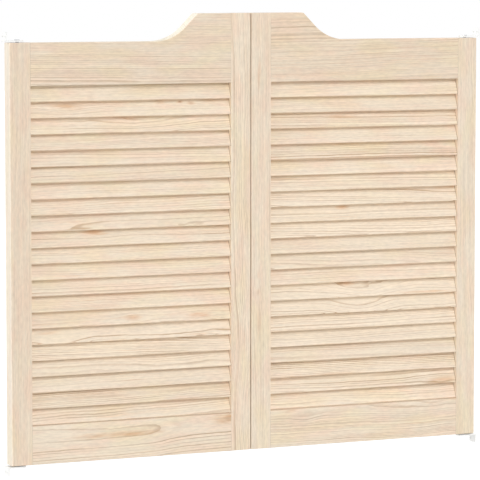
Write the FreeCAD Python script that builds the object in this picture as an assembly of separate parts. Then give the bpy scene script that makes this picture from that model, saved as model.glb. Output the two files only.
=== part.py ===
import FreeCAD, Part
import math
import os

"""A pair of louvred cafe swinging doors, hung on pivots between two jambs.

Millimetres. X runs across the doorway, Y through it (the front is -Y) and Z is up. The origin is on the
centre line of the doorway, in the middle of the leaves' thickness, level with the foot of the lower brackets.
Every piece is modelled for the left leaf and mirrored for the right one.
"""

# ---------------------------------------------------------------- driving dimensions
# leaves
leaf_width = 621.5
leaf_thickness = 35.0
outer_height = 1001.0
crown_rise = 66.0
centre_gap = 2.0

# frame of a leaf
stile_width = 52.0
top_rail_height = 101.6
bottom_rail_height = 92.0
ease_radius = 2.0
rail_edge_ease = 0.8

# crown of the top rail
crown_flat = 140.0
crown_slope_deg = 45.0
crown_corner_radius = 6.0
scoop_radius = 114.0

# slats
slat_count = 21
slat_width = 44.5
slat_thickness = 5.5
slat_angle_deg = 68.0
slat_setback = 1.6
sill_gap = 2.5
housing_depth = 8.0
housing_clearance = 0.15
slat_end_clearance = 0.4

# dowels between rails and stiles
dowel_diameter = 9.5
dowel_length = 60.0
dowel_clearance = 0.05
dowel_hole_spare = 1.0
dowel_edge_distance = 15.0
dowel_spacing = 30.0
dowel_chamfer = 1.0

# pivots
pivot_inset = 25.5
leaf_to_arm = 2.5
running_clearance = 0.05
press_clearance = 0.02
upper_pin_diameter = 8.0
upper_pin_engagement = 15.0
bush_diameter = 14.0
bush_length = 20.0
bush_flange_diameter = 22.0
bush_flange_thickness = 2.5
spindle_diameter = 9.5
spindle_engagement = 30.0
spindle_collar_diameter = 17.0
cartridge_diameter = 20.0
cartridge_length = 38.0
cartridge_flange_length = 42.0
cartridge_flange_width = 22.0
cartridge_flange_thickness = 2.5
cartridge_boss_diameter = 15.0
cartridge_boss_length = 4.0
recess_clearance = 0.1
blind_end_spare = 1.0
pin_chamfer = 1.0

# jamb brackets
bracket_width = 30.0
bracket_thickness = 3.0
bracket_plate_height = 22.0
bracket_bend_radius = 4.0
jamb_clearance = 8.0
screw_hole_diameter = 4.5
screw_spacing = 18.0
rivet_head_diameter = 13.0
rivet_head_height = 1.5

# ---------------------------------------------------------------- worked-out places
leaf_bottom = leaf_to_arm + bracket_plate_height
outer_top = leaf_bottom + outer_height
crown_top = outer_top + crown_rise
opening_bottom = leaf_bottom + bottom_rail_height
opening_top = outer_top - top_rail_height
front = -leaf_thickness / 2
back = leaf_thickness / 2

outer_edge = -(leaf_width + centre_gap / 2)
outer_joint = outer_edge + stile_width
meeting_edge = -centre_gap / 2
meeting_joint = meeting_edge - stile_width
pivot_x = outer_edge + pivot_inset
jamb_x = outer_edge - jamb_clearance

slat_pitch = (opening_top - opening_bottom - sill_gap) / slat_count
slat_radius = slat_thickness / 2
slat_chord = slat_width - slat_thickness
slat_angle = math.radians(slat_angle_deg)

X_AXIS = FreeCAD.Vector(1, 0, 0)
Y_AXIS = FreeCAD.Vector(0, 1, 0)
Z_AXIS = FreeCAD.Vector(0, 0, 1)
ORIGIN = FreeCAD.Vector(0, 0, 0)
TOLERANCE = 1e-6


# ---------------------------------------------------------------- shared shapes
def box(x0, x1, y0, y1, z0, z1):
    """Block between two opposite corners."""
    return Part.makeBox(x1 - x0, y1 - y0, z1 - z0, FreeCAD.Vector(x0, y0, z0))


def rod(diameter, z0, z1, x=0.0, y=0.0):
    """Upright round bar from z0 up to z1."""
    return Part.makeCylinder(diameter / 2, z1 - z0, FreeCAD.Vector(x, y, z0), Z_AXIS)


def cross_bar(diameter, x0, x1, y, z):
    """Round bar along X."""
    return Part.makeCylinder(diameter / 2, x1 - x0, FreeCAD.Vector(x0, y, z), X_AXIS)


def near(a, b):
    return abs(a - b) < TOLERANCE


def edges_where(shape, test):
    """Edges of a shape whose two ends and middle all pass a test on x, y and z."""
    chosen = []
    for edge in shape.Edges:
        middle = edge.valueAt((edge.FirstParameter + edge.LastParameter) / 2)
        points = [vertex.Point for vertex in edge.Vertexes] + [middle]
        if all(test(p.x, p.y, p.z) for p in points):
            chosen.append(edge)
    return chosen


def on_a_face(y):
    return near(y, front) or near(y, back)


# ---------------------------------------------------------------- slats
def slat_nose(number):
    """Centre of the rounded front edge of a slat, as y and z. Slat 1 is the top one."""
    lowest = opening_bottom + sill_gap + slat_radius
    return front + slat_setback + slat_radius, lowest + (slat_count - number) * slat_pitch


def slat_prism(number, x0, x1, grow=0.0):
    """Bullnosed slat from x0 to x1, or, with grow, the space it needs."""
    nose_y, nose_z = slat_nose(number)
    radius = slat_radius + grow
    along = FreeCAD.Vector(0, math.cos(slat_angle), math.sin(slat_angle))
    across = FreeCAD.Vector(0, -math.sin(slat_angle), math.cos(slat_angle))
    nose = FreeCAD.Vector(x0, nose_y, nose_z)
    heel = nose + along * slat_chord
    top = Part.makeLine(nose + across * radius, heel + across * radius)
    heel_round = Part.Arc(heel + across * radius, heel + along * radius, heel - across * radius)
    under = Part.makeLine(heel - across * radius, nose - across * radius)
    nose_round = Part.Arc(nose - across * radius, nose - along * radius, nose + across * radius)
    wire = Part.Wire([top, heel_round.toShape(), under, nose_round.toShape()])
    return Part.Face(wire).extrude(X_AXIS * (x1 - x0))


def slat(number):
    """Slat with both ends in the stiles' housings."""
    reach = housing_depth - slat_end_clearance
    return slat_prism(number, outer_joint - reach, meeting_joint + reach)


def housings(x0, x1):
    """Angled stopped housings for all the slats of a leaf, cut into one stile."""
    return [slat_prism(n, x0, x1, housing_clearance) for n in range(1, slat_count + 1)]


# ---------------------------------------------------------------- dowels
def dowel_levels():
    """Heights of the dowels: two in the bottom rail and two in the top rail, near the slats."""
    offsets = (dowel_edge_distance, dowel_edge_distance + dowel_spacing)
    return [opening_bottom - d for d in offsets] + [opening_top + d for d in offsets]


def dowel(joint_x, z):
    """Round dowel with chamfered ends, half in the stile and half in the rail."""
    pin = cross_bar(dowel_diameter, joint_x - dowel_length / 2, joint_x + dowel_length / 2, 0, z)
    ends = [edge for edge in pin.Edges if isinstance(edge.Curve, Part.Circle)]
    return pin.makeChamfer(dowel_chamfer, ends)


def dowel_holes():
    """Holes for every dowel of a leaf, a little longer than the dowels."""
    bore = dowel_diameter + 2 * dowel_clearance
    half = dowel_length / 2 + dowel_hole_spare
    joints = (outer_joint, meeting_joint)
    return [cross_bar(bore, x - half, x + half, 0, z) for x in joints for z in dowel_levels()]


def frame_dowels():
    """All the dowels of a leaf."""
    return Part.makeCompound([dowel(x, z) for x in (outer_joint, meeting_joint) for z in dowel_levels()])


# ---------------------------------------------------------------- frame of a leaf
def eased_stile(x0, x1, top, free_x):
    """Stile with its arrises eased, except beside the rails. free_x is the side away from them."""
    board = box(x0, x1, front, back, leaf_bottom, top)

    def eased(x, y, z):
        end = near(z, leaf_bottom) or near(z, top)
        return (near(x, free_x) and (on_a_face(y) or end)) or (end and on_a_face(y))

    return board.makeFillet(ease_radius, edges_where(board, eased))


def outer_stile():
    """Short stile on the pivot side, housed for the slats and bored for the pivots."""
    stile = eased_stile(outer_edge, outer_joint, outer_top, outer_edge)
    cuts = housings(outer_joint - housing_depth, outer_joint) + dowel_holes()
    return stile.cut(cuts + [bush_recess(), cartridge_recess()])


def meeting_stile():
    """Tall stile at the middle of the doorway, housed for the slats."""
    stile = eased_stile(meeting_joint, meeting_edge, crown_top, meeting_edge)
    return stile.cut(housings(meeting_joint, meeting_joint + housing_depth) + dowel_holes())


def crown_outline():
    """Outline of the top rail, seen from the front."""
    slope = math.radians(crown_slope_deg)
    corner_x = meeting_edge - crown_flat
    scoop_top_z = outer_top + scoop_radius * (1 - math.cos(slope))
    scoop_top_x = corner_x - (crown_top - scoop_top_z) / math.tan(slope)
    scoop_foot_x = scoop_top_x - scoop_radius * math.sin(slope)
    middle_x = scoop_foot_x + scoop_radius * math.sin(slope / 2)
    middle_z = outer_top + scoop_radius * (1 - math.cos(slope / 2))

    def at(x, z):
        return FreeCAD.Vector(x, front, z)

    scoop = Part.Arc(at(scoop_foot_x, outer_top), at(middle_x, middle_z), at(scoop_top_x, scoop_top_z))
    level = [at(scoop_top_x, scoop_top_z), at(corner_x, crown_top), at(meeting_joint, crown_top)]
    below = [at(meeting_joint, opening_top), at(outer_joint, opening_top), at(outer_joint, outer_top)]
    corners = level + below + [at(scoop_foot_x, outer_top)]
    return Part.Wire([scoop.toShape()] + Part.makePolygon(corners).Edges)


def top_rail():
    """Shaped top rail, grooved underneath for the upper edge of the top slat."""
    rail = Part.Face(crown_outline()).extrude(Y_AXIS * leaf_thickness)
    corner_x = meeting_edge - crown_flat
    corner = edges_where(rail, lambda x, y, z: near(x, corner_x) and near(z, crown_top))
    rail = rail.makeFillet(crown_corner_radius, corner)
    upper = edges_where(rail, lambda x, y, z: on_a_face(y) and z > outer_top - TOLERANCE)
    rail = rail.makeFillet(ease_radius, upper)
    lower = edges_where(rail, lambda x, y, z: on_a_face(y) and near(z, opening_top))
    rail = rail.makeFillet(rail_edge_ease, lower)
    groove = slat_prism(1, outer_joint, meeting_joint, housing_clearance)
    return rail.cut([groove] + dowel_holes())


def bottom_rail():
    """Plain bottom rail."""
    rail = box(outer_joint, meeting_joint, front, back, leaf_bottom, opening_bottom)
    lower = edges_where(rail, lambda x, y, z: on_a_face(y) and near(z, leaf_bottom))
    rail = rail.makeFillet(ease_radius, lower)
    upper = edges_where(rail, lambda x, y, z: on_a_face(y) and near(z, opening_bottom))
    rail = rail.makeFillet(rail_edge_ease, upper)
    return rail.cut(dowel_holes())


# ---------------------------------------------------------------- pivots in the leaf
def oblong(length, width, z0, z1):
    """Plate with rounded ends, centred on the pivot, long across the stile."""
    straight = (length - width) / 2
    middle = box(pivot_x - straight, pivot_x + straight, -width / 2, width / 2, z0, z1)
    ends = [rod(width, z0, z1, pivot_x + side * straight) for side in (-1, 1)]
    return middle.fuse(ends).removeSplitter()


def bush_body(clearance=0.0):
    """Flanged outside of the upper bush, or, with a clearance, the recess it is pressed into."""
    flange_base = outer_top - bush_flange_thickness
    sleeve = rod(bush_diameter + 2 * clearance, outer_top - bush_length, outer_top, pivot_x)
    flange = rod(bush_flange_diameter + 2 * clearance, flange_base, outer_top, pivot_x)
    return sleeve.fuse(flange).removeSplitter()


def bush_recess():
    return bush_body(press_clearance)


def upper_bush():
    """Flanged bush that turns on the upper pin."""
    bore = upper_pin_diameter + 2 * running_clearance
    return bush_body().cut(rod(bore, outer_top - bush_length, outer_top, pivot_x))


def cartridge_body(clearance=0.0, spare=0.0):
    """Outside of the sprung cartridge, or, with a clearance, the recess that takes it."""
    length = cartridge_flange_length + 2 * clearance
    width = cartridge_flange_width + 2 * clearance
    flange = oblong(length, width, leaf_bottom, leaf_bottom + cartridge_flange_thickness)
    shoulder = leaf_bottom + cartridge_length - cartridge_boss_length
    barrel = rod(cartridge_diameter + 2 * clearance, leaf_bottom, shoulder, pivot_x)
    boss = rod(cartridge_boss_diameter + 2 * clearance, shoulder, shoulder + cartridge_boss_length + spare, pivot_x)
    return flange.fuse([barrel, boss]).removeSplitter()


def cartridge_recess():
    return cartridge_body(recess_clearance, blind_end_spare)


def spring_cartridge():
    """Closed cartridge whose torsion spring brings the leaf back; its oblong flange keys it in the stile."""
    bore = spindle_diameter + 2 * running_clearance
    top = leaf_bottom + spindle_engagement + blind_end_spare
    return cartridge_body().cut(rod(bore, leaf_bottom, top, pivot_x))


# ---------------------------------------------------------------- pivots on the jamb
def chamfered_rod(diameter, z0, z1, tip_z):
    """Upright pin on the pivot axis with a chamfer at its free tip."""
    pin = rod(diameter, z0, z1, pivot_x)
    tip = [e for e in pin.Edges if isinstance(e.Curve, Part.Circle) and near(e.Curve.Center.z, tip_z)]
    return pin.makeChamfer(pin_chamfer, tip)


def jamb_bracket(arm_side, plate_end):
    """Bent bracket: an arm over or under the stile, and a plate on the jamb.

    arm_side is the height of the arm's face next to the leaf, plate_end that of the plate's far end.
    """
    outward = 1 if plate_end > arm_side else -1
    arm_far = arm_side + outward * bracket_thickness
    low, high = sorted((arm_side, arm_far))
    half = bracket_width / 2
    arm = box(jamb_x, pivot_x, -half, half, low, high)
    arm_end = rod(bracket_width, low, high, pivot_x)
    plate_low, plate_high = sorted((arm_side, plate_end))
    plate = box(jamb_x, jamb_x + bracket_thickness, -half, half, plate_low, plate_high)
    bracket = plate.fuse([arm, arm_end]).removeSplitter()
    inner_x = jamb_x + bracket_thickness
    bend = edges_where(bracket, lambda x, y, z: near(x, inner_x) and near(z, arm_far))
    bracket = bracket.makeFillet(bracket_bend_radius, bend)
    heel = edges_where(bracket, lambda x, y, z: near(x, jamb_x) and near(z, arm_side))
    bracket = bracket.makeFillet(bracket_thickness / 2, heel)
    return bracket.cut(screw_holes((arm_far + plate_end) / 2))


def screw_holes(z):
    """Two screw holes side by side through the plate."""
    x1 = jamb_x + bracket_thickness
    sides = (-screw_spacing / 2, screw_spacing / 2)
    return [cross_bar(screw_hole_diameter, jamb_x, x1, y, z) for y in sides]


def arm_hole(diameter, z0, z1):
    return rod(diameter + 2 * press_clearance, z0, z1, pivot_x)


def upper_jamb_bracket():
    arm_side = outer_top + leaf_to_arm
    plate = jamb_bracket(arm_side, arm_side + bracket_plate_height)
    return plate.cut(arm_hole(upper_pin_diameter, arm_side, arm_side + bracket_thickness))


def lower_jamb_bracket():
    arm_side = leaf_bottom - leaf_to_arm
    plate = jamb_bracket(arm_side, arm_side - bracket_plate_height)
    return plate.cut(arm_hole(spindle_diameter, arm_side - bracket_thickness, arm_side))


def upper_pivot_pin():
    """Pin through the upper arm, with a riveted head above it."""
    arm_far = outer_top + leaf_to_arm + bracket_thickness
    tip = outer_top - upper_pin_engagement
    head = rod(rivet_head_diameter, arm_far, arm_far + rivet_head_height, pivot_x)
    return chamfered_rod(upper_pin_diameter, tip, arm_far + rivet_head_height, tip).fuse(head).removeSplitter()


def lower_pivot_spindle():
    """Spindle through the lower arm: its collar carries the leaf, its head below is riveted over."""
    arm_far = leaf_bottom - leaf_to_arm - bracket_thickness
    tip = leaf_bottom + spindle_engagement
    collar = rod(spindle_collar_diameter, leaf_bottom - leaf_to_arm, leaf_bottom, pivot_x)
    head = rod(rivet_head_diameter, arm_far - rivet_head_height, arm_far, pivot_x)
    shaft = chamfered_rod(spindle_diameter, arm_far - rivet_head_height, tip, tip)
    return shaft.fuse([collar, head]).removeSplitter()


# ---------------------------------------------------------------- the pair
def mirrored(shape):
    return shape.mirror(ORIGIN, X_AXIS)


def both_sides(shape):
    return Part.makeCompound([shape, mirrored(shape)])


def leaf_pieces():
    """Every piece of the left leaf by name."""
    pieces = {
        "outer_stile": outer_stile(),
        "meeting_stile": meeting_stile(),
        "top_rail": top_rail(),
        "bottom_rail": bottom_rail(),
        "frame_dowels": frame_dowels(),
        "upper_bush": upper_bush(),
        "spring_cartridge": spring_cartridge(),
    }
    for number in range(1, slat_count + 1):
        pieces["slat_%02d" % number] = slat(number)
    return pieces


def jamb_pieces():
    """The four brackets and four pins that stay on the jambs."""
    return {
        "upper_jamb_brackets": both_sides(upper_jamb_bracket()),
        "lower_jamb_brackets": both_sides(lower_jamb_bracket()),
        "upper_pivot_pins": both_sides(upper_pivot_pin()),
        "lower_pivot_spindles": both_sides(lower_pivot_spindle()),
    }


def main():
    os.makedirs("parts", exist_ok=True)
    pieces = jamb_pieces()
    for name, shape in leaf_pieces().items():
        pieces["left_" + name] = shape
        pieces["right_" + name] = mirrored(shape)
    for name, shape in pieces.items():
        shape.exportStep("parts/" + name + ".step")


main()
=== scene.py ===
"""Finishes, stage and camera for a pair of louvred cafe doors, in metres."""

import math
import random
import typing

import bpy
from mathutils import Matrix, Vector


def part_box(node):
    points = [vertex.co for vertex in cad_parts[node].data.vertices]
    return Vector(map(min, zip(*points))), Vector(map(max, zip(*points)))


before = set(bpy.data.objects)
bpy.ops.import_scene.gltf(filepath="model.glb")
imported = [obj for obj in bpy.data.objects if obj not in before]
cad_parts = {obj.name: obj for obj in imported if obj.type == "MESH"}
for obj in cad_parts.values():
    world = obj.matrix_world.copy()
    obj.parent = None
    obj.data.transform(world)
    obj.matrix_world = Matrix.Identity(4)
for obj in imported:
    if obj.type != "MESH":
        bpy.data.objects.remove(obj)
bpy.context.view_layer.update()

bl_info = {
    "name": "Cafe Door Finishes",
    "version": (1, 0, 0),
    "blender": (4, 5, 0),
    "location": "View3D > Sidebar > Cafe Doors",
    "description": "Timber, nylon and steel finishes for a pair of swinging louvred doors, and a stage",
    "category": "Material",
}

SIDES = ("left", "right")

RIGHTWARD = Vector((1, 0, 0))
UPWARD = Vector((0, 0, 1))
BACKWARD = Vector((0, 1, 0))


def linear(red, green, blue):
    """A colour given as it is seen, 0 to 255, in the linear numbers that shaders take (the sRGB curve)."""
    shares = [channel / 255 for channel in (red, green, blue)]
    return [share / 12.92 if share <= 0.04045 else ((share + 0.055) / 1.055) ** 2.4 for share in shares]


def opaque(colour):
    """A colour property as the four numbers of a colour socket."""
    return (*colour, 1.0)


# ---------------------------------------------------------------- settings


def colour_setting(name, description, default):
    return bpy.props.FloatVectorProperty(
        name=name, description=description, default=default, subtype="COLOR", size=3, min=0, max=1
    )


def length_setting(name, description, default):
    return bpy.props.FloatProperty(
        name=name, description=description, default=default, min=0, unit="LENGTH", subtype="DISTANCE"
    )


def angle_setting(name, description, degrees):
    return bpy.props.FloatProperty(
        name=name, description=description, default=math.radians(degrees), unit="ROTATION", subtype="ANGLE"
    )


def share_setting(name, description, default, highest=1.0):
    return bpy.props.FloatProperty(
        name=name, description=description, default=default, min=0, max=highest, subtype="FACTOR"
    )


class CafeDoorTimber(bpy.types.PropertyGroup):
    """Colours and grain of the pine and the beech"""

    early_wood: colour_setting("Early wood", "Pine between the dark lines", linear(241, 226, 205))
    late_wood: colour_setting("Late wood", "Dark line that ends each year's growth", linear(198, 168, 136))
    rosy_wood: colour_setting("Rosy wood", "Tint of the warmer areas of a board", linear(242, 217, 195))
    straw_wood: colour_setting("Straw wood", "Tint of the yellower areas of a board", linear(240, 225, 192))
    resin: colour_setting("Resin", "Streaks and patches of resin", linear(220, 171, 124))
    knot: colour_setting("Knot", "Heart of a knot", linear(150, 104, 68))
    # colour of a highlight painted on the edges of some boards
    edge_highlight_colour: colour_setting("Painted edge highlight", "Tint of the paler edges", linear(250, 250, 240))
    beech: colour_setting("Beech", "Dowel timber between its year lines", linear(214, 176, 138))
    beech_line: colour_setting("Beech line", "Year lines of the dowel timber", linear(184, 138, 98))
    ring_width: length_setting("Ring width", "One year's growth of the pine", 0.0038)
    line_strength: share_setting("Line strength", "How far the year lines go towards late wood", 0.72)
    frame_tone: share_setting("Frame tone", "Brightness of the stiles and rails beside the slats", 1.0, 2)
    fibre_relief: length_setting("Fibre relief", "Height of the raised fibres and year lines", 0.00012)
    slat_slope: angle_setting("Slat slope", "Slope of the slats above the horizontal", 68)


class CafeDoorFittings(bpy.types.PropertyGroup):
    """Colours of the pivots, bushes and brackets"""

    nylon: colour_setting("Nylon", "Moulded bushes and spring cartridges", linear(236, 236, 232))
    paint: colour_setting("Paint", "Painted jamb brackets", linear(250, 250, 248))
    steel: colour_setting("Steel", "Turned pins and spindles", linear(196, 197, 200))
    paint_relief: length_setting("Paint relief", "Height of the ripple in the paint", 0.00003)


class CafeDoorStage(bpy.types.PropertyGroup):
    """Floor, light and camera"""

    floor_drop: length_setting("Floor drop", "Clear height under the doors, as they hang in a doorway", 0.38)
    floor_width: length_setting("Floor width", "Side of the square floor", 60)
    floor_colour: colour_setting("Floor", "Colour that the floor throws back at the doors", (0.8, 0.8, 0.8))
    front_sky: share_setting("Front sky", "Brightness of the even light in front of the doors", 0.40, 3)
    back_sky: share_setting("Back sky", "Brightness of the even light behind the doors", 0.80, 3)
    key: share_setting("Key", "Strength of the main lamp", 1.42, 10)
    key_turn: angle_setting("Key turn", "How far left of the doors' front the main lamp stands", 0)
    key_rise: angle_setting("Key rise", "Height of the main lamp above level", 35)
    side: share_setting("Side", "Strength of the lamp beside the doors", 1.28, 10)
    side_turn: angle_setting("Side turn", "How far left of the doors' front the side lamp stands", 88)
    side_rise: angle_setting("Side rise", "Height of the side lamp above level", 10)
    lamp_spread: angle_setting("Lamp spread", "How wide each lamp looks from the doors", 35)
    view_turn: angle_setting("View turn", "How far left of the doors' front the camera stands", 24.59)
    view_rise: angle_setting("View rise", "Height of the camera above its aim, as an angle", 5.13)
    view_distance: length_setting("View distance", "From the camera to the point it looks at", 7.4173)
    aim_height: length_setting("Aim height", "Height of the point that the camera looks at", 0.5391)
    aim_shift: length_setting("Aim shift", "How far that point is left of the meeting line", 0.0216)
    lens: bpy.props.FloatProperty(
        name="Lens", description="Focal length, for a 36 mm sensor", default=228.15, min=1, unit="CAMERA"
    )


# ---------------------------------------------------------------- shader building

# A Mix node also has sockets for numbers and vectors. These are its share, its two colours and its result.
MIX_INPUTS = (0, 6, 7)
MIX_OUTPUT = 2


class Web:
    """Adds nodes to one tree and joins them, so that a pattern reads as arithmetic."""

    def __init__(self, tree):
        self.tree = tree

    def feed(self, socket, value):
        if isinstance(value, bpy.types.NodeSocket):
            self.tree.links.new(value, socket)
        elif value is not None:
            socket.default_value = value

    def node(self, kind, *values, **settings):
        """A node with these settings. Its sockets take the values in order, and None leaves one alone."""
        made = self.tree.nodes.new(kind)
        for name, setting in settings.items():
            setattr(made, name, setting)
        for socket, value in zip(made.inputs, values):
            self.feed(socket, value)
        return made

    def maths(self, operation, *values):
        return self.node("ShaderNodeMath", *values, operation=operation).outputs[0]

    def vectors(self, operation, *values):
        return self.node("ShaderNodeVectorMath", *values, operation=operation).outputs[0]

    def scaled(self, vector, factor):
        return self.node("ShaderNodeVectorMath", vector, None, None, factor, operation="SCALE").outputs[0]

    def length(self, vector):
        return self.node("ShaderNodeVectorMath", vector, operation="LENGTH").outputs["Value"]

    def joined(self, x, y, z):
        return self.node("ShaderNodeCombineXYZ", x, y, z).outputs[0]

    def parts(self, vector):
        return self.node("ShaderNodeSeparateXYZ", vector).outputs

    def noise(self, place, detail=2.0, roughness=0.5):
        """Noise whose size comes from how far the place has been scaled up: one feature per unit."""
        return self.node("ShaderNodeTexNoise", place, None, 1.0, detail, roughness).outputs

    def noise_along(self, distance, detail=1.0):
        texture = self.node("ShaderNodeTexNoise", None, distance, 1.0, detail, noise_dimensions="1D")
        return texture.outputs[0]

    def step(self, value, start, end, low=0.0, high=1.0):
        """Goes smoothly from low to high while the value goes from start to end."""
        ramp = self.node("ShaderNodeMapRange", value, start, end, low, high, interpolation_type="SMOOTHSTEP")
        return ramp.outputs[0]

    def spread(self, value, low, high, start=0.0, end=1.0):
        """Goes evenly from low to high while the value goes from start to end."""
        return self.node("ShaderNodeMapRange", value, start, end, low, high).outputs[0]

    def mixed(self, share, first, second, blend="MIX"):
        mix = self.node("ShaderNodeMix", data_type="RGBA", blend_type=blend)
        for index, value in zip(MIX_INPUTS, (share, first, second)):
            self.feed(mix.inputs[index], value)
        return mix.outputs[MIX_OUTPUT]

    def shaded(self, colour, shade):
        """The colour, made darker where the shade is under 1 and brighter where it is over 1."""
        return self.mixed(1.0, colour, self.joined(shade, shade, shade), "MULTIPLY")


def empty_material(name):
    """A material without nodes, and the web that fills it."""
    material = bpy.data.materials.new(name)
    material.use_nodes = True
    material.node_tree.nodes.clear()
    return material, Web(material.node_tree)


def new_finish(name):
    """A material for the doors or their fittings, the web that fills it, and its shader."""
    material, web = empty_material(name)
    shader = web.node("ShaderNodeBsdfPrincipled")
    output = web.node("ShaderNodeOutputMaterial")
    web.feed(output.inputs["Surface"], shader.outputs[0])
    return material, web, shader


def bump(web, shader, height, relief, strength):
    """Raises the surface by up to the relief, in metres, where the height is 1."""
    made = web.node("ShaderNodeBump")
    web.feed(made.inputs["Strength"], strength)
    web.feed(made.inputs["Distance"], relief)
    web.feed(made.inputs["Height"], height)
    web.feed(shader.inputs["Normal"], made.outputs[0])


def dress(piece, material):
    for slot in piece.material_slots:
        slot.material = material


def new_group(name, inputs, outputs):
    """A node group with these sockets, listed by kind, and the web that fills it."""
    group = bpy.data.node_groups.new(name, "ShaderNodeTree")
    for direction, sockets in (("INPUT", inputs), ("OUTPUT", outputs)):
        for kind, names in sockets.items():
            for socket in names:
                group.interface.new_socket(socket, in_out=direction, socket_type=kind)
    return Web(group), group


def group_called(name, build):
    """The node group of that name, built when it is first asked for."""
    return bpy.data.node_groups.get(name) or build(name)


# ---------------------------------------------------------------- knots

KNOT_INPUTS = {
    "NodeSocketVector": ("Place", "Lie", "Centre"),
    "NodeSocketFloat": ("Stain", "Heart", "Radius", "Stretch", "Stained", "Darkness", "Bend"),
}
KNOT_OUTPUTS = {
    "NodeSocketVector": ("Lie",),
    "NodeSocketFloat": ("Stain", "Heart"),
}

# Distances here are in knot radii.
KNOT_REACH = 2.3  # how far a knot bends the grain
KNOT_RAGGED = 1.8  # how far its outline strays in and out
KNOT_RAGGED_RATE = (26, 260, 260)  # features per metre
KNOT_STAIN = (1.8, 0.1)  # where its stain starts, and where it is full
KNOT_HEART = (0.8, 0.2)  # where its heart starts, and where it is full


class Knot(typing.NamedTuple):
    """A knot or a resinous patch, placed from the middle of its board, in metres."""

    along: float
    across: float
    radius: float
    stretch: float = 2.4  # length over breadth
    stained: float = 0.6
    darkness: float = 0.0
    bend: float = 0.86  # how much of the grain it pushes aside


def knot_group(name):
    """The node group for one knot: it pushes the year lines aside, and stains and darkens the wood."""
    web, group = new_group(name, KNOT_INPUTS, KNOT_OUTPUTS)
    given = web.node("NodeGroupInput").outputs
    away = web.vectors("SUBTRACT", given["Place"], given["Centre"])
    shape = web.joined(web.maths("DIVIDE", 1.0, given["Stretch"]), 1.0, 0.0)
    depth = web.maths("DIVIDE", web.length(web.vectors("MULTIPLY", away, shape)), given["Radius"])
    near = web.maths("POWER", web.maths("DIVIDE", depth, KNOT_REACH), 2.0)
    push = web.maths("MULTIPLY", web.maths("EXPONENT", web.maths("MULTIPLY", near, -1.0)), given["Bend"])
    sideways = web.vectors("MULTIPLY", away, (0.0, 1.0, 0.0))
    lie = web.vectors("SUBTRACT", given["Lie"], web.scaled(sideways, push))
    ragged = web.vectors("MULTIPLY", given["Place"], KNOT_RAGGED_RATE)
    ragged = web.noise(ragged, detail=3.0, roughness=0.6)[0]
    ragged = web.maths("MULTIPLY_ADD", ragged, KNOT_RAGGED, web.maths("SUBTRACT", depth, KNOT_RAGGED / 2))
    stain = web.maths("MULTIPLY", web.step(ragged, *KNOT_STAIN), given["Stained"])
    heart = web.maths("MULTIPLY", web.step(ragged, *KNOT_HEART), given["Darkness"])
    stain = web.maths("MAXIMUM", stain, given["Stain"])
    heart = web.maths("MAXIMUM", heart, given["Heart"])
    web.node("NodeGroupOutput", lie, stain, heart)
    return group


# ---------------------------------------------------------------- grain

GRAIN_INPUTS = {
    "NodeSocketVector": ("Place", "Lie", "Facing", "Pith", "Lean"),
    "NodeSocketFloat": (
        "Ring Width",
        "Wander",
        "Crest",
        "Crest Place",
        "Late Start",
        "Seed",
        "Stain",
        "Heart",
        "Half Length",
        # places the highlight painted along a slat's front edge
        "Rubbed Edge",
        "Line Strength",
        "Tone",
        # sets how strongly a highlight is painted on the board's edges
        "Pale Edge",
    ),
    # the last colour is that of the highlight painted on the edges
    "NodeSocketColor": ("Early", "Late", "Rosy", "Straw", "Resin", "Knot", "Planed"),
}
GRAIN_OUTPUTS = {
    "NodeSocketColor": ("Color",),
    "NodeSocketFloat": ("Roughness", "Height"),
}

# Rates are features per metre: along the grain, across the wide face and through the board.
SEED_SHIFT = (17.3, 29.1, 43.7)  # moves the noise on, per unit of a board's seed
PITH_WANDER = 0.005  # how far the pith strays from a straight line
WANDER_RATE = 2.4
SWAY = 0.0014  # long swells in the year lines
SWAY_RATE = (6, 11, 11)
RIPPLE = 0.0004  # short waves in the year lines
RIPPLE_RATE = (30, 110, 110)
CREST_LENGTH = 0.11  # along the grain, over which a crest drops
YEAR_RATE = 70  # how quickly good and poor years follow each other
YEAR_CHANGE = 2.6  # rings gained or lost in a run of poor or good years
LATE_FULL = 0.93  # share of the year at which its dark line is full
LATE_END = 0.96  # share of the year at which that line starts to end
WEAKEST_YEAR = 0.3  # strength of the faintest dark line
FADE_RATE = (5, 34, 34)  # places where the lines fade
FADED = 0.4  # what is left of the lines there
TINT_RATE = (10, 34, 34)
STRAW_RATE = (8, 26, 26)
FIBRE_RATE = (10, 560, 560)
FLECK_RATE = (64, 260, 260)
PORE_RATE = (140, 2600, 2600)

# These rates are along the grain, and from ring to ring.
STREAK_RATE = (3.0, 300)
RESIN_RATE = (4.5, 260)
STAIN_RATE = (11, 520)
FAINT_STAIN = 0.3  # what is left of a stain between its streaks

# Nearly all noise lies in these ranges. The pairs after them say where in it a thing starts and is full.
NOISE_RANGE = (0.2, 0.8)
STREAK_RANGE = (0.15, 0.85)
FADE_EDGE = (0.32, 0.64)
ROSY_EDGE = (0.36, 0.66)
STRAW_EDGE = (0.44, 0.68)
RESIN_EDGE = (0.70, 0.80)
STAIN_EDGE = (0.30, 0.62)
PORE_EDGE = (0.66, 0.78)

# How far each goes towards its own colour where it is full.
ROSY_SHARE = 0.75
STRAW_SHARE = 0.54
PORE_SHARE = 0.25
RESIN_SHARE = 0.30

# How squarely a surface faces one of its board's own directions: where it starts to count, and in full.
# the edges on which a highlight is painted
HIGHLIGHT_FACING = (0.5, 0.7)
END_FACING = (0.7, 0.95)
ARRIS_FACING = (0.97, 0.82)

NOSE_HIGHLIGHT_WIDTH = 0.012  # width of the painted highlight along the front edge of a slat
JOINT_LINE = 0.0004  # width of the hairline at the ends of rails and slats, beside the stiles
HOUSED = 0.0076  # length of a slat's end that lies inside its stile
CORNER_SHADE_WIDTH = 0.0005  # further width of that hairline at a slat's ends, painted shade for the corner where the slat enters its stile
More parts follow.
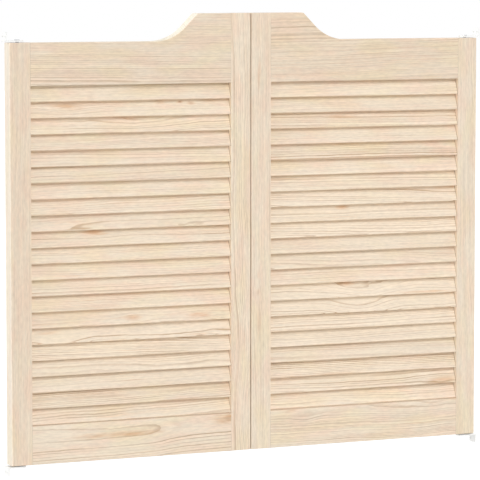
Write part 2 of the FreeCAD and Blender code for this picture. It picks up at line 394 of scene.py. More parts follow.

# How far each changes the brightness of the wood, as a share of it.
FIBRE_SHADE = 0.08
STREAK_SHADE = 0.10
FLECK_SHADE = 0.075
END_SHADE = -0.13
# painted highlight on the eased arrises, the slat noses among them
ARRIS_HIGHLIGHT = 0.07
# painted highlight along the front edge of each slat
NOSE_HIGHLIGHT = 0.05
# a dark joint line on the rails; on the slats it is also painted shade in the corner beside each stile
JOINT_AND_CORNER_SHADE = -0.5

FIBRE_ROUGHNESS = (0.54, 0.72)  # least and most
LINE_ROUGHNESS = -0.08  # added on the year lines
END_ROUGHNESS = 0.12  # added on end grain
FIBRE_HEIGHT = 0.7
LINE_HEIGHT = 0.4
PORE_DEPTH = 0.4
WOOD_SPECULAR = 0.28
WOOD_BUMP = 0.6


class Grain:
    """The pattern of one board: year lines round a pith, streaks, fibres, pores and tints."""

    def __init__(self, web):
        self.web = web
        self.given = web.node("NodeGroupInput").outputs
        self.along, self.across, _ = web.parts(self.given["Place"])
        self.facing = web.parts(web.vectors("ABSOLUTE", self.given["Facing"]))
        self.shift = web.scaled(SEED_SHIFT, self.given["Seed"])
        self.reach = self.reach_from_pith()
        self.line = self.year_lines()
        self.fibre = self.noise(FIBRE_RATE, detail=3.0, roughness=0.65)[0]
        self.pore = web.step(self.noise(PORE_RATE, detail=1.0)[0], *PORE_EDGE)
        self.end_grain = web.step(self.facing[0], *END_FACING)

    def noise(self, rate, detail=2.0, roughness=0.5):
        """Noise that lies straight along the board."""
        place = self.web.vectors("MULTIPLY_ADD", self.given["Place"], rate, self.shift)
        return self.web.noise(place, detail, roughness)

    def flow(self, rate, detail):
        """Streaks that follow the year lines."""
        web = self.web
        along = web.maths("MULTIPLY", self.along, rate[0])
        outward = web.maths("MULTIPLY", self.reach, rate[1])
        bands = web.vectors("ADD", web.joined(along, outward, 0.0), self.shift)
        return web.noise(bands, detail, roughness=0.6)[0]

    def pith(self):
        """The middle of the tree beside each point of the board. It leans and wanders along the board."""
        web, given = self.web, self.given
        stray = web.vectors("MULTIPLY_ADD", web.joined(self.along, 0.0, 0.0), (WANDER_RATE,) * 3, self.shift)
        stray = web.vectors("SUBTRACT", web.noise(stray, detail=1.0)["Color"], (0.5, 0.5, 0.5))
        stray = web.scaled(stray, web.maths("MULTIPLY", given["Wander"], 2 * PITH_WANDER))
        straight = web.scaled(given["Lean"], self.along)
        return web.vectors("ADD", web.vectors("ADD", given["Pith"], stray), straight)

    def reach_from_pith(self):
        """Distance from the pith, with the swells and waves that the year lines have."""
        web, given = self.web, self.given
        beside = web.vectors("SUBTRACT", given["Lie"], self.pith())
        reach = web.length(web.vectors("MULTIPLY", beside, (0.0, 1.0, 1.0)))
        sway = web.spread(self.noise(SWAY_RATE)[0], -SWAY, SWAY, *NOISE_RANGE)
        reach = web.maths("MULTIPLY_ADD", sway, given["Wander"], reach)
        ripple = web.spread(self.noise(RIPPLE_RATE, detail=1.0)[0], -RIPPLE, RIPPLE, *NOISE_RANGE)
        reach = web.maths("ADD", reach, ripple)
        past = web.step(web.maths("SUBTRACT", self.along, given["Crest Place"]), 0.0, CREST_LENGTH)
        return web.maths("MULTIPLY_ADD", past, given["Crest"], reach)

    def year_lines(self):
        """The dark lines: each year has a slow start and a sharp end, and some years are stronger."""
        web, given = self.web, self.given
        run = web.noise_along(web.maths("MULTIPLY_ADD", self.reach, YEAR_RATE, given["Seed"]))
        years = web.maths("DIVIDE", self.reach, given["Ring Width"])
        years = web.maths("ADD", years, web.maths("MULTIPLY", run, YEAR_CHANGE))
        season = web.maths("FRACT", years)
        start = web.step(season, given["Late Start"], LATE_FULL)
        line = web.maths("MULTIPLY", start, web.step(season, 1.0, LATE_END))
        vigour = web.maths("ADD", web.maths("FLOOR", years), given["Seed"])
        vigour = web.node("ShaderNodeTexWhiteNoise", None, vigour, noise_dimensions="1D").outputs[0]
        line = web.maths("MULTIPLY", line, web.spread(vigour, WEAKEST_YEAR, 1.0))
        line = web.maths("MULTIPLY", line, web.step(self.noise(FADE_RATE)[0], *FADE_EDGE, FADED, 1.0))
        return web.maths("MULTIPLY", line, web.maths("ADD", given["Stain"], 1.0))

    def resin(self):
        """Thin streaks of resin, and the stains round the knots."""
        web = self.web
        streaks = web.step(self.flow(RESIN_RATE, detail=1.0), *RESIN_EDGE)
        stain = web.step(self.flow(STAIN_RATE, detail=2.0), *STAIN_EDGE, FAINT_STAIN, 1.0)
        stain = web.maths("MULTIPLY", self.given["Stain"], stain)
        return web.maths("MAXIMUM", web.maths("MULTIPLY", streaks, RESIN_SHARE), stain)

    def colour(self):
        """From the early wood, by its tints, lines, pores and resin, to the knots and a highlight painted on
        the board's edges.
        """
        web, given = self.web, self.given
        rosy = web.step(self.noise(TINT_RATE)[0], *ROSY_EDGE)
        colour = web.mixed(web.maths("MULTIPLY", rosy, ROSY_SHARE), given["Early"], given["Rosy"])
        straw = web.step(self.noise(STRAW_RATE, detail=1.0)["Color"], *STRAW_EDGE)
        colour = web.mixed(web.maths("MULTIPLY", straw, STRAW_SHARE), colour, given["Straw"])
        colour = web.mixed(web.maths("MULTIPLY", self.line, given["Line Strength"]), colour, given["Late"])
        colour = web.mixed(web.maths("MULTIPLY", self.pore, PORE_SHARE), colour, given["Late"])
        colour = web.mixed(self.resin(), colour, given["Resin"])
        colour = web.mixed(given["Heart"], colour, given["Knot"])
        # A highlight painted on the board's edges.
        edge = web.step(self.facing[1], *HIGHLIGHT_FACING)
        return web.mixed(web.maths("MULTIPLY", edge, given["Pale Edge"]), colour, given["Planed"])

    def arris(self):
        """1 on the eased corners, which face neither along the board, nor across it, nor through it. A
        highlight is painted there.
        """
        along, across, through = self.facing
        square = self.web.maths("MAXIMUM", across, through)
        square = self.web.maths("MAXIMUM", square, along)
        return self.web.step(square, *ARRIS_FACING)

    def shade(self):
        """Streaks, fibres, flecks, dull end grain, painted highlights on the arrises and along the slats'
        front edges, dark hairlines at the joints, and painted shade where the slats meet the stiles.
        """
        web, given = self.web, self.given
        # A highlight painted along the front edge of a slat.
        nose_highlight_mask = web.step(web.maths("SUBTRACT", self.across, given["Rubbed Edge"]), NOSE_HIGHLIGHT_WIDTH, 0.0)
        # A dark hairline at the joints. On a slat it is widened into painted shade where the slat meets its
        # stile.
        joint_and_corner = web.maths("SUBTRACT", given["Half Length"], web.maths("ABSOLUTE", self.along))
        joint_and_corner = web.step(joint_and_corner, JOINT_LINE, JOINT_LINE / 2)
        streak = self.flow(STREAK_RATE, detail=3.0)
        streak = web.spread(streak, 1 - STREAK_SHADE, 1 + STREAK_SHADE, *STREAK_RANGE)
        fibre = web.spread(self.fibre, -FIBRE_SHADE, FIBRE_SHADE)
        fleck = self.noise(FLECK_RATE, detail=1.0)[0]
        fleck = web.spread(fleck, -FLECK_SHADE, FLECK_SHADE, *NOISE_RANGE)
        shade = web.maths("ADD", web.maths("ADD", fibre, streak), fleck)
        changes = (
            (self.end_grain, END_SHADE),
            (self.arris(), ARRIS_HIGHLIGHT),
            (nose_highlight_mask, NOSE_HIGHLIGHT),
            (joint_and_corner, JOINT_AND_CORNER_SHADE),
        )
        for there, change in changes:
            shade = web.maths("MULTIPLY", shade, web.maths("MULTIPLY_ADD", there, change, 1.0))
        return web.maths("MULTIPLY", shade, given["Tone"])

    def roughness(self):
        web = self.web
        roughness = web.spread(self.fibre, *FIBRE_ROUGHNESS)
        roughness = web.maths("ADD", roughness, web.maths("MULTIPLY", self.line, LINE_ROUGHNESS))
        return web.maths("ADD", roughness, web.maths("MULTIPLY", self.end_grain, END_ROUGHNESS))

    def height(self):
        web = self.web
        height = web.maths("MULTIPLY", self.fibre, FIBRE_HEIGHT)
        height = web.maths("ADD", height, web.maths("MULTIPLY", self.line, LINE_HEIGHT))
        return web.maths("SUBTRACT", height, web.maths("MULTIPLY", self.pore, PORE_DEPTH))


def grain_group(name):
    """The node group behind all the timber."""
    web, group = new_group(name, GRAIN_INPUTS, GRAIN_OUTPUTS)
    grain = Grain(web)
    colour = web.shaded(grain.colour(), grain.shade())
    web.node("NodeGroupOutput", colour, grain.roughness(), grain.height())
    return group


# ---------------------------------------------------------------- boards

SEEDS = 60  # range of the numbers that set one board's noise apart from another's
LINE_VARIETY = (0.8, 1.2)  # least and most, as a share
TONE_VARIETY = (0.975, 1.02)
GROWTH_VARIETY = (0.7, 1.4)
LEAN_ACROSS = 0.012  # most that a pith leans, across the wide face
LEAN_DEEP = 0.02  # most that it leans, through the board
PINE_DISTANCES = (0.05, 0.15)  # least and most from a board's middle to its pith
BEECH_DISTANCES = (0.05, 0.2)

# How far from flat sawn a board may be, in degrees, least and most.
STILE_CUT = (50, 85)
RAIL_CUT = (35, 75)
SLAT_CUT = (20, 80)
DOWEL_CUT = (0, 80)

NO_JOINT = 1.0  # a half length past the end of any board, so that no hairline shows
NO_NOSE_HIGHLIGHT = -1.0  # an edge outside any board, so that no painted highlight shows


class Board(typing.NamedTuple):
    """A wooden node, and how the grain lies on it."""

    name: str
    turn: tuple
    tone: float = 1.0
    half_length: float = NO_JOINT  # from its middle to the hairline at its joints; on a slat, to where painted shade starts beside its stile
    rubbed_edge: float = NO_NOSE_HIGHLIGHT  # from its middle to the front edge along which a highlight is painted, across the grain


class Figure(typing.NamedTuple):
    """How a board looks beside a plain one, which has all these values."""

    lines: float = 1.0  # strength of its year lines
    tone: float = 1.0  # its brightness
    warmth: float = 1.0  # strength of its rosy and straw tints
    pale_edge: float = 0.0  # how far its edges go towards the colour of a painted edge highlight


class Log(typing.NamedTuple):
    """Where a board lay in its log. The pith's place and lean are given across and through the board."""

    pith: tuple
    lean: tuple
    ring_width: float
    late_start: float = 0.46  # share of a year's growth that comes before its dark line
    wander: float = 1.0  # how much the pith strays and the lines sway
    crest: float = 0.0  # how far the rings drop at the crest
    crest_place: float = 0.0


def board_turn(along, across):
    """The turn that takes x to along the grain and y to across the board's wide face."""
    return Matrix((along, across, along.cross(across))).transposed().to_euler()


def sawn(draws, cut, distances, ring_width):
    """A place in a log, drawn at random within these limits."""
    angle = math.radians(draws.uniform(*cut)) * draws.choice((-1, 1))
    distance = draws.uniform(*distances)
    side = draws.choice((-1, 1))
    pith = (distance * math.sin(angle), side * distance * math.cos(angle))
    lean = (draws.uniform(-LEAN_ACROSS, LEAN_ACROSS), draws.uniform(-LEAN_DEEP, LEAN_DEEP))
    return Log(pith, lean, ring_width * draws.uniform(*GROWTH_VARIETY))


def on_board(web, board):
    """Where a point lies from the middle of its board, and which way the surface faces there."""
    low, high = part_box(board.name)
    coordinates = web.node("ShaderNodeTexCoord").outputs
    kind = "ShaderNodeMapping"
    place = web.node(kind, coordinates["Object"], (low + high) / 2, board.turn, vector_type="TEXTURE")
    facing = web.node(kind, coordinates["Normal"], None, board.turn, vector_type="TEXTURE")
    return place.outputs[0], facing.outputs[0]


def round_knots(web, place, knots):
    """Where the grain lies once the knots have pushed it aside, and how stained and dark the wood is."""
    lie, stain, heart = place, 0.0, 0.0
    for knot in knots:
        centre = (knot.along, knot.across, 0.0)
        values = (place, lie, centre, stain, heart, *knot[2:])
        group = group_called("timber_knot", knot_group)
        lie, stain, heart = web.node("ShaderNodeGroup", *values, node_tree=group).outputs
    return lie, stain, heart


def timber(board, log, draws, colours):
    """Dresses a board in timber from its own place in the log, with its own figure and knots."""
    wood = bpy.context.scene.cafe_door_timber
    figure = FIGURES.get(board.name, Figure())
    material, web, shader = new_finish(f"timber_{board.name}")
    place, facing = on_board(web, board)
    lie, stain, heart = round_knots(web, place, KNOTS.get(board.name, ()))
    values = {
        "Place": place,
        "Lie": lie,
        "Facing": facing,
        "Pith": (0.0, *log.pith),
        "Lean": (0.0, *log.lean),
        "Ring Width": log.ring_width,
        "Wander": log.wander,
        "Crest": log.crest,
        "Crest Place": log.crest_place,
        "Late Start": log.late_start,
        "Seed": draws.uniform(0, SEEDS),
        "Stain": stain,
        "Heart": heart,
        "Half Length": board.half_length,
        "Rubbed Edge": board.rubbed_edge,
        "Line Strength": wood.line_strength * figure.lines * draws.uniform(*LINE_VARIETY),
        "Tone": board.tone * figure.tone * draws.uniform(*TONE_VARIETY),
        "Pale Edge": figure.pale_edge,
        **colours,
    }
    grain = web.node("ShaderNodeGroup", node_tree=group_called("timber_grain", grain_group))
    for socket, value in values.items():
        web.feed(grain.inputs[socket], value)
    web.feed(shader.inputs["Base Color"], grain.outputs["Color"])
    web.feed(shader.inputs["Roughness"], grain.outputs["Roughness"])
    web.feed(shader.inputs["Specular IOR Level"], WOOD_SPECULAR)
    bump(web, shader, grain.outputs["Height"], wood.fibre_relief, WOOD_BUMP)
    dress(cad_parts[board.name], material)


def pine_colours(wood, warmth):
    """The colours of the pine, with its tints at this strength."""
    plain = Vector(wood.early_wood)
    return {
        "Early": opaque(wood.early_wood),
        "Late": opaque(wood.late_wood),
        "Rosy": opaque(plain.lerp(Vector(wood.rosy_wood), warmth)),
        "Straw": opaque(plain.lerp(Vector(wood.straw_wood), warmth)),
        "Resin": opaque(wood.resin),
        "Knot": opaque(wood.knot),
        "Planed": opaque(wood.edge_highlight_colour),
    }


def beech_colours(wood):
    pale, dark = opaque(wood.beech), opaque(wood.beech_line)
    return {
        "Early": pale,
        "Late": dark,
        "Rosy": pale,
        "Straw": pale,
        "Resin": dark,
        "Knot": dark,
        "Planed": pale,
    }


def pine(board, cut):
    """Dresses a board in pine, from the place in the log that LOGS gives, or else from one of its own."""
    wood = bpy.context.scene.cafe_door_timber
    draws = random.Random(board.name)
    log = sawn(draws, cut, PINE_DISTANCES, wood.ring_width)
    warmth = FIGURES.get(board.name, Figure()).warmth
    timber(board, LOGS.get(board.name, log), draws, pine_colours(wood, warmth))


# Boards whose year lines make a shape of their own.
LOGS = {
    "left_meeting_stile": Log((0.070, -0.040), (0.010, 0.0), 0.0034, wander=2.6),
    "left_top_rail": Log((-0.115, -0.030), (-0.010, 0.0), 0.0030),
    "right_top_rail": Log((0.115, -0.050), (0.020, 0.0), 0.0068, late_start=0.56),
    "left_bottom_rail": Log(
        (0.0240, -0.0420),
        (0.010, -0.0057),
        0.0050,
        late_start=0.70,
        wander=0.25,
        crest=0.0042,
        crest_place=0.035,
    ),
    "right_bottom_rail": Log((0.052, -0.030), (0.0, 0.010), 0.0036, wander=2.6),
    "left_slat_03": Log((0.030, -0.045), (0.020, 0.0), 0.0040, late_start=0.6, wander=2.0),
    "left_slat_09": Log((-0.018, -0.035), (0.0, 0.012), 0.0046, late_start=0.75, wander=0.6),
    "left_slat_16": Log((0.010, -0.040), (-0.006, 0.008), 0.0050, late_start=0.76, wander=2.4),
    "right_slat_08": Log((0.080, -0.050), (-0.050, 0.0), 0.0070, late_start=0.74, wander=0.8),
    "right_slat_14": Log((0.024, -0.035), (-0.010, 0.010), 0.0042, late_start=0.7, wander=2.0),
    "right_slat_15": Log((0.030, -0.035), (0.0, -0.012), 0.0042, late_start=0.7, wander=2.0),
}
FIGURES = {
    # The outer stile and the top rail of the left leaf get a highlight painted on their edges.
    "left_outer_stile": Figure(lines=0.3, tone=0.95, pale_edge=0.33),
    "left_meeting_stile": Figure(tone=1.01),
    "left_top_rail": Figure(lines=1.5, pale_edge=0.45),
    "left_bottom_rail": Figure(lines=2.1, tone=0.99),
    "left_slat_03": Figure(lines=1.1),
    "left_slat_04": Figure(lines=1.5, tone=0.99),
    "left_slat_06": Figure(tone=0.965),
    "left_slat_07": Figure(lines=0.5),
    "left_slat_08": Figure(lines=1.5),
    "left_slat_09": Figure(lines=2.1),
    "left_slat_10": Figure(lines=2.4, tone=1.03),
    "left_slat_14": Figure(lines=2.0),
    "left_slat_16": Figure(lines=3.0, warmth=0.4),
    "left_slat_17": Figure(lines=1.6, tone=1.04, warmth=0.3),
    "left_slat_18": Figure(tone=0.99, warmth=0.4),
    "left_slat_19": Figure(tone=0.98, warmth=0.5),
    "left_slat_20": Figure(lines=2.0, tone=0.975),
    "left_slat_21": Figure(lines=1.3, tone=1.015),
    "right_outer_stile": Figure(lines=0.4),
    "right_meeting_stile": Figure(lines=0.6),
    "right_top_rail": Figure(tone=0.99),
    "right_bottom_rail": Figure(lines=1.3),
    "right_slat_01": Figure(tone=1.03),
    "right_slat_03": Figure(lines=2.1),
    "right_slat_05": Figure(lines=2.8, tone=0.99, warmth=1.5),
    "right_slat_07": Figure(lines=1.6, tone=1.03, warmth=0.7),
    "right_slat_08": Figure(lines=3.0, warmth=0.4),
    "right_slat_09": Figure(tone=1.04, warmth=0.3),
    "right_slat_10": Figure(tone=1.06, warmth=0.2),
    "right_slat_11": Figure(tone=1.01, warmth=0.7),
    "right_slat_12": Figure(warmth=0.7),
    "right_slat_13": Figure(lines=0.7),
    "right_slat_14": Figure(lines=1.6, tone=1.05, warmth=0.2),
    "right_slat_15": Figure(lines=2.2, warmth=0.2),
    "right_slat_16": Figure(lines=1.5, tone=1.03, warmth=0.3),
    "right_slat_17": Figure(tone=1.02, warmth=0.2),
    "right_slat_18": Figure(lines=1.1, tone=0.98, warmth=0.6),
    "right_slat_19": Figure(lines=3.0, tone=1.05, warmth=0.6),
    "right_slat_20": Figure(lines=2.0, tone=1.01, warmth=0.7),
    "right_slat_21": Figure(tone=1.03),
}
KNOTS = {
    "left_outer_stile": (Knot(0.0, 0.0, 0.5, stretch=1.0, stained=0.12, bend=0.0),),
    "left_slat_02": (
        Knot(-0.163, 0.006, 0.009, stretch=3.4, stained=0.75),
        Knot(0.077, 0.011, 0.004, stretch=3.0, stained=0.5),
        Knot(0.129, 0.011, 0.0034, stretch=2.2, darkness=0.5),
        Knot(0.157, 0.007, 0.004, stretch=2.0, stained=0.4, darkness=0.15),
        Knot(0.210, 0.012, 0.005, stretch=4.0, stained=0.4),
    ),
    "left_slat_03": (Knot(0.02, 0.021, 0.010, stretch=5.0, stained=0.4),),
    "left_slat_09": (Knot(-0.14, -0.020, 0.012, stretch=5.0, stained=0.0, bend=0.5),),
    "left_slat_10": (Knot(-0.092, 0.0105, 0.0062, stretch=4.5, stained=0.72, darkness=0.1),),
    "left_slat_15": (
        Knot(0.006, -0.008, 0.006, stretch=3.0, stained=0.5, darkness=0.05),
        Knot(0.176, -0.009, 0.005, stretch=4.5, stained=0.9),
    ),
    "left_slat_16": (
        Knot(-0.19, -0.012, 0.009, stretch=2.2, stained=0.0),
        Knot(-0.21, 0.004, 0.004, stretch=6.0, stained=0.3, bend=0.0),
    ),
    "left_bottom_rail": (
        Knot(0.254, 0.034, 0.0095, stretch=4.0, stained=1.0, darkness=0.25, bend=0.4),
        Knot(-0.04, 0.0135, 0.006, stretch=15.0, stained=0.7, bend=0.0),
        Knot(-0.06, 0.055, 0.017, stretch=3.2, stained=0.0, bend=0.45),
    ),
    "right_top_rail": (Knot(0.0, 0.0, 0.5, stretch=1.0, stained=0.14, bend=0.0),),
    "right_bottom_rail": (Knot(-0.165, 0.036, 0.010, stretch=1.5, stained=0.1),),
    "right_meeting_stile": (
        Knot(0.383, 0.005, 0.003, stretch=10.0, stained=0.5),
        Knot(-0.104, 0.007, 0.003, stretch=3.0, stained=0.2),
        Knot(-0.147, 0.007, 0.005, stretch=1.6, stained=0.25, darkness=0.08),
        Knot(-0.229, 0.006, 0.005, stretch=6.0, stained=0.25),
    ),
    "right_slat_03": (Knot(-0.06, 0.006, 0.004, stretch=8.0, stained=0.5, bend=0.3),),
    "right_slat_08": (Knot(0.236, 0.013, 0.005, stretch=5.0, stained=0.7),),
    "right_slat_09": (Knot(-0.057, 0.011, 0.005, stretch=3.0, darkness=0.05),),
    "right_slat_14": (
        Knot(-0.04, 0.014, 0.006, stretch=4.0, stained=0.7),
        Knot(0.01, 0.022, 0.020, stretch=1.5, stained=0.0),
        Knot(0.176, -0.018, 0.0028, stretch=24.0, bend=0.0),
    ),
    "right_slat_15": (Knot(-0.01, 0.030, 0.024, stretch=1.5, stained=0.0),),
    "right_slat_20": (Knot(0.22, -0.012, 0.007, stretch=5.0),),
}


class CAFEDOORS_OT_frame_timber(bpy.types.Operator):
    """Gives the stiles and rails their pine, with the grain along each board"""

    bl_idname = "cafe_doors.frame_timber"
    bl_label = "Frame timber"

    def execute(self, context):
        tone = context.scene.cafe_door_timber.frame_tone
        upright = board_turn(UPWARD, -RIGHTWARD)
        level = board_turn(RIGHTWARD, UPWARD)
        for side in SIDES:
            for stile in ("outer_stile", "meeting_stile"):
                pine(Board(f"{side}_{stile}", upright, tone), STILE_CUT)
            for rail in ("top_rail", "bottom_rail"):
                name = f"{side}_{rail}"
                low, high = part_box(name)
                half_length = (high.x - low.x) / 2
                pine(Board(name, level, tone, half_length), RAIL_CUT)
        return {"FINISHED"}


class CAFEDOORS_OT_slat_timber(bpy.types.Operator):
    """Gives every slat its own piece of pine, with the grain along the slat"""

    bl_idname = "cafe_doors.slat_timber"
    bl_label = "Slat timber"

    def execute(self, context):
        slope = context.scene.cafe_door_timber.slat_slope
        turn = board_turn(RIGHTWARD, BACKWARD * math.cos(slope) + UPWARD * math.sin(slope))
        slats = [name for name in sorted(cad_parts) if "_slat_" in name]
        for name in slats:
            low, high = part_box(name)
            # The dark band at a slat's ends starts short of the stile, as painted shade in the corner where
            # they meet.
            half_length = (high.x - low.x) / 2 - HOUSED - CORNER_SHADE_WIDTH
            # A highlight is painted along the slat's front edge.
            half_width = (high.z - low.z) / 2 / math.sin(slope)
            slat = Board(name, turn, half_length=half_length, rubbed_edge=-half_width)
            pine(slat, SLAT_CUT)
        return {"FINISHED"}


class CAFEDOORS_OT_dowels(bpy.types.Operator):
    """Gives the frame dowels their beech"""

    bl_idname = "cafe_doors.dowels"
    bl_label = "Dowels"

    def execute(self, context):
        wood = context.scene.cafe_door_timber
        for side in SIDES:
            dowels = Board(f"{side}_frame_dowels", board_turn(RIGHTWARD, UPWARD))
            draws = random.Random(dowels.name)
            log = sawn(draws, DOWEL_CUT, BEECH_DISTANCES, wood.ring_width / 2)
            timber(dowels, log, draws, beech_colours(wood))
        return {"FINISHED"}


# ---------------------------------------------------------------- nylon, paint and steel

# Rates are features per metre. The pairs of numbers are the least and the most.
NYLON_FLOW_RATE = (60, 60, 60)
NYLON_GRIT_RATE = (2600, 2600, 2600)
NYLON_SHADE = (0.95, 1.03)
NYLON_ROUGHNESS = (0.38, 0.50)
NYLON_FLOW_ROUGHNESS = (-0.04, 0.04)
NYLON_RELIEF = 0.00002
NYLON_BUMP = 0.5

PAINT_RIPPLE_RATE = (620, 620, 620)
PAINT_DUST_RATE = (3400, 3400, 3400)
PAINT_DUST_EDGE = (0.66, 0.76)  # where in its noise a speck of dust starts, and where it is full
PAINT_CLOUD_RATE = (38, 38, 38)
PAINT_SHADE = (0.965, 1.02)
PAINT_ROUGHNESS = (0.26, 0.42)
PAINT_BUMP = 0.8
DUST_SHADE = 0.05
DUST_HEIGHT = 0.3

STEEL_RING_RATE = (20, 20, 4200)
STEEL_PATCH_RATE = (150, 150, 150)
STEEL_RING_SHADE = (-0.05, 0.05)
STEEL_PATCH_SHADE = (0.92, 1.04)
STEEL_ROUGHNESS = (0.16, 0.30)
STEEL_PATCH_ROUGHNESS = (-0.03, 0.08)
STEEL_RELIEF = 0.00001
STEEL_BUMP = 0.4


def noise_over(web, rate, detail=2.0, roughness=0.5):
    """Noise over a whole piece, with this many features per metre."""
    place = web.node("ShaderNodeTexCoord").outputs["Object"]
    return web.noise(web.vectors("MULTIPLY", place, rate), detail, roughness)[0]


def moulded_nylon(name, colour):
    """Matt moulded nylon: a faint flow mottle and the fine texture of the mould."""
    material, web, shader = new_finish(name)
    flow = noise_over(web, NYLON_FLOW_RATE, detail=3.0)
    grit = noise_over(web, NYLON_GRIT_RATE)
    mottle = web.spread(flow, *NYLON_FLOW_ROUGHNESS)
    web.feed(shader.inputs["Base Color"], web.shaded(opaque(colour), web.spread(flow, *NYLON_SHADE)))
    web.feed(shader.inputs["Roughness"], web.maths("ADD", web.spread(grit, *NYLON_ROUGHNESS), mottle))
    bump(web, shader, grit, NYLON_RELIEF, NYLON_BUMP)
    return material


def sprayed_paint(name, colour, relief):
    """Satin paint sprayed on steel: a soft ripple, a little dust and a slight change of gloss."""
    material, web, shader = new_finish(name)
    ripple = noise_over(web, PAINT_RIPPLE_RATE)
    dust = web.step(noise_over(web, PAINT_DUST_RATE, detail=1.0), *PAINT_DUST_EDGE)
    cloud = noise_over(web, PAINT_CLOUD_RATE)
    shade = web.maths("SUBTRACT", web.spread(cloud, *PAINT_SHADE), web.maths("MULTIPLY", dust, DUST_SHADE))
    web.feed(shader.inputs["Base Color"], web.shaded(opaque(colour), shade))
    web.feed(shader.inputs["Roughness"], web.spread(cloud, *PAINT_ROUGHNESS))
    height = web.maths("ADD", ripple, web.maths("MULTIPLY", dust, DUST_HEIGHT))
    bump(web, shader, height, relief, PAINT_BUMP)
    return material


def turned_steel(name, colour):
    """Bright steel turned on a lathe: fine rings round the upright axis, and a few duller patches."""
    material, web, shader = new_finish(name)
    rings = noise_over(web, STEEL_RING_RATE, detail=3.0, roughness=0.7)
    patch = noise_over(web, STEEL_PATCH_RATE)
    shade = web.maths("ADD", web.spread(rings, *STEEL_RING_SHADE), web.spread(patch, *STEEL_PATCH_SHADE))
    dullness = web.spread(patch, *STEEL_PATCH_ROUGHNESS)
    web.feed(shader.inputs["Base Color"], web.shaded(opaque(colour), shade))
    web.feed(shader.inputs["Roughness"], web.maths("ADD", web.spread(rings, *STEEL_ROUGHNESS), dullness))
    web.feed(shader.inputs["Metallic"], 1.0)
    bump(web, shader, rings, STEEL_RELIEF, STEEL_BUMP)
    return material


class CAFEDOORS_OT_pivot_housings(bpy.types.Operator):
    """Moulds the upper bushes and the spring cartridges in white nylon"""

    bl_idname = "cafe_doors.pivot_housings"
    bl_label = "Pivot housings"

    def execute(self, context):
        nylon = moulded_nylon("moulded_nylon", context.scene.cafe_door_fittings.nylon)
        for side in SIDES:
            for housing in ("upper_bush", "spring_cartridge"):
                dress(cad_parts[f"{side}_{housing}"], nylon)
        return {"FINISHED"}


class CAFEDOORS_OT_jamb_brackets(bpy.types.Operator):
    """Paints the jamb brackets"""

    bl_idname = "cafe_doors.jamb_brackets"
    bl_label = "Jamb brackets"

    def execute(self, context):
        fittings = context.scene.cafe_door_fittings
        paint = sprayed_paint("sprayed_paint", fittings.paint, fittings.paint_relief)
        for level in ("upper", "lower"):
            dress(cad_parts[f"{level}_jamb_brackets"], paint)
        return {"FINISHED"}


class CAFEDOORS_OT_pivot_pins(bpy.types.Operator):
    """Turns the upper pins and lower spindles in bright steel"""

    bl_idname = "cafe_doors.pivot_pins"
    bl_label = "Pivot pins"

    def execute(self, context):
        steel = turned_steel("turned_steel", context.scene.cafe_door_fittings.steel)
        for pins in ("upper_pivot_pins", "lower_pivot_spindles"):
            dress(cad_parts[pins], steel)
        return {"FINISHED"}


# ---------------------------------------------------------------- stage

WHITE = (1.0, 1.0, 1.0, 1.0)
FLOOR_WHITE = (0.9, 0.9, 0.9, 1.0)  # colour of the floor as the camera sees it
FLOOR_GLOW = 0.3  # what the floor adds to that by itself
SKY_BLEND = 0.15  # half the width of the change from front sky to back sky, in radii of the sky
LAMP_DISTANCE = 6
SENSOR_WIDTH = 36  # millimetres


def from_front(turn, rise):
    """The direction from the doors to a point left of their front by turn, and above level by rise."""
    return Vector((-math.sin(turn) * math.cos(rise), -math.cos(turn) * math.cos(rise), math.sin(rise)))


def seen_directly(web):
    """1 for what the camera sees, also by reflection or through glass, and 0 for light on the doors."""
    path = web.node("ShaderNodeLightPath").outputs
    seen = web.maths("MAXIMUM", path["Is Camera Ray"], path["Is Glossy Ray"])
    return web.maths("MAXIMUM", seen, path["Is Transmission Ray"])


def floor_finish(colour):
    """A floor that throws back this colour, and shows white to the camera but for the doors' shadow."""
    material, web = empty_material("floor_white")
    dull = web.node("ShaderNodeBsdfDiffuse", opaque(colour)).outputs[0]
    white = web.node("ShaderNodeBsdfDiffuse", FLOOR_WHITE).outputs[0]
    glow = web.node("ShaderNodeEmission", WHITE, FLOOR_GLOW).outputs[0]
    shown = web.node("ShaderNodeAddShader", white, glow).outputs[0]
    surface = web.node("ShaderNodeMixShader", seen_directly(web), dull, shown).outputs[0]
    web.node("ShaderNodeOutputMaterial", surface)
    return material


def stage_floor(stage):
    """A level square floor, which isn't part of the doors."""
    half = stage.floor_width / 2
    mesh = bpy.data.meshes.new("floor")
    corners = [(x * half, y * half, -stage.floor_drop) for x, y in ((-1, -1), (1, -1), (1, 1), (-1, 1))]
    mesh.from_pydata(corners, [], [(0, 1, 2, 3)])
    mesh.materials.append(floor_finish(stage.floor_colour))
    floor = bpy.data.objects.new("floor", mesh)
    bpy.context.scene.collection.objects.link(floor)


def stage_sky(stage):
    """Soft light from all round, brighter behind the doors, in front of a white background."""
    world = bpy.data.worlds.new("sky")
    world.use_nodes = True
    world.node_tree.nodes.clear()
    web = Web(world.node_tree)
    behind = web.parts(web.node("ShaderNodeTexCoord").outputs["Generated"])[1]
    level = web.step(behind, -SKY_BLEND, SKY_BLEND, stage.front_sky, stage.back_sky)
    light = web.node("ShaderNodeBackground", WHITE, level).outputs[0]
    white = web.node("ShaderNodeBackground", WHITE, 1.0).outputs[0]
    surface = web.node("ShaderNodeMixShader", seen_directly(web), light, white).outputs[0]
    web.node("ShaderNodeOutputWorld", surface)
    bpy.context.scene.world = world


def stand(piece, direction, distance, aim):
    """Puts a lamp or camera that far from its aim in that direction, and turns it to face the aim."""
    piece.location = aim + direction * distance
    piece.rotation_euler = direction.to_track_quat("Z", "Y").to_euler()
    bpy.context.scene.collection.objects.link(piece)


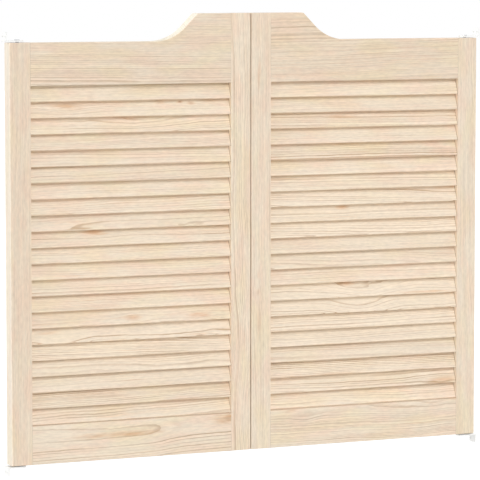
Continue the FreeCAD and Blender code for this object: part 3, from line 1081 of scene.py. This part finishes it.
def stage_lamp(name, turn, rise, strength, spread):
    """A lamp that shines from that direction and looks that wide."""
    data = bpy.data.lights.new(name, "SUN")
    data.energy = strength
    data.angle = spread
    stand(bpy.data.objects.new(name, data), from_front(turn, rise), LAMP_DISTANCE, Vector())


def stage_camera(stage):
    data = bpy.data.cameras.new("camera")
    data.sensor_width = SENSOR_WIDTH
    data.lens = stage.lens
    camera = bpy.data.objects.new("camera", data)
    aim = Vector((-stage.aim_shift, 0, stage.aim_height))
    stand(camera, from_front(stage.view_turn, stage.view_rise), stage.view_distance, aim)
    bpy.context.scene.camera = camera


class CAFEDOORS_OT_stage(bpy.types.Operator):
    """Lays a white floor, sets the light and stands the camera in front of the doors"""

    bl_idname = "cafe_doors.stage"
    bl_label = "Stage"

    def execute(self, context):
        stage = context.scene.cafe_door_stage
        stage_floor(stage)
        stage_sky(stage)
        stage_lamp("key", stage.key_turn, stage.key_rise, stage.key, stage.lamp_spread)
        stage_lamp("side", stage.side_turn, stage.side_rise, stage.side, stage.lamp_spread)
        stage_camera(stage)
        context.scene.view_settings.view_transform = "Standard"
        return {"FINISHED"}


# ---------------------------------------------------------------- panel and run

OPERATORS = (
    CAFEDOORS_OT_frame_timber,
    CAFEDOORS_OT_slat_timber,
    CAFEDOORS_OT_dowels,
    CAFEDOORS_OT_pivot_housings,
    CAFEDOORS_OT_jamb_brackets,
    CAFEDOORS_OT_pivot_pins,
    CAFEDOORS_OT_stage,
)
SETTINGS = {
    "cafe_door_timber": CafeDoorTimber,
    "cafe_door_fittings": CafeDoorFittings,
    "cafe_door_stage": CafeDoorStage,
}


class CAFEDOORS_PT_finishes(bpy.types.Panel):
    """Lists the finishes, their settings and the stage"""

    bl_idname = "CAFEDOORS_PT_finishes"
    bl_label = "Cafe door finishes"
    bl_space_type = "VIEW_3D"
    bl_region_type = "UI"
    bl_category = "Cafe Doors"

    def draw(self, context):
        for operator in OPERATORS:
            self.layout.operator(operator.bl_idname)
        for name, group in SETTINGS.items():
            box = self.layout.box()
            box.label(text=group.__doc__)
            for setting in group.__annotations__:
                box.prop(getattr(context.scene, name), setting)


def register():
    for made in (*SETTINGS.values(), *OPERATORS, CAFEDOORS_PT_finishes):
        bpy.utils.register_class(made)
    for name, group in SETTINGS.items():
        setattr(bpy.types.Scene, name, bpy.props.PointerProperty(type=group))


def unregister():
    for name in SETTINGS:
        delattr(bpy.types.Scene, name)
    for made in reversed((*SETTINGS.values(), *OPERATORS, CAFEDOORS_PT_finishes)):
        bpy.utils.unregister_class(made)


def main():
    register()
    bpy.ops.cafe_doors.frame_timber()
    bpy.ops.cafe_doors.slat_timber()
    bpy.ops.cafe_doors.dowels()
    bpy.ops.cafe_doors.pivot_housings()
    bpy.ops.cafe_doors.jamb_brackets()
    bpy.ops.cafe_doors.pivot_pins()
    bpy.ops.cafe_doors.stage()


if __name__ == "__main__":
    main()
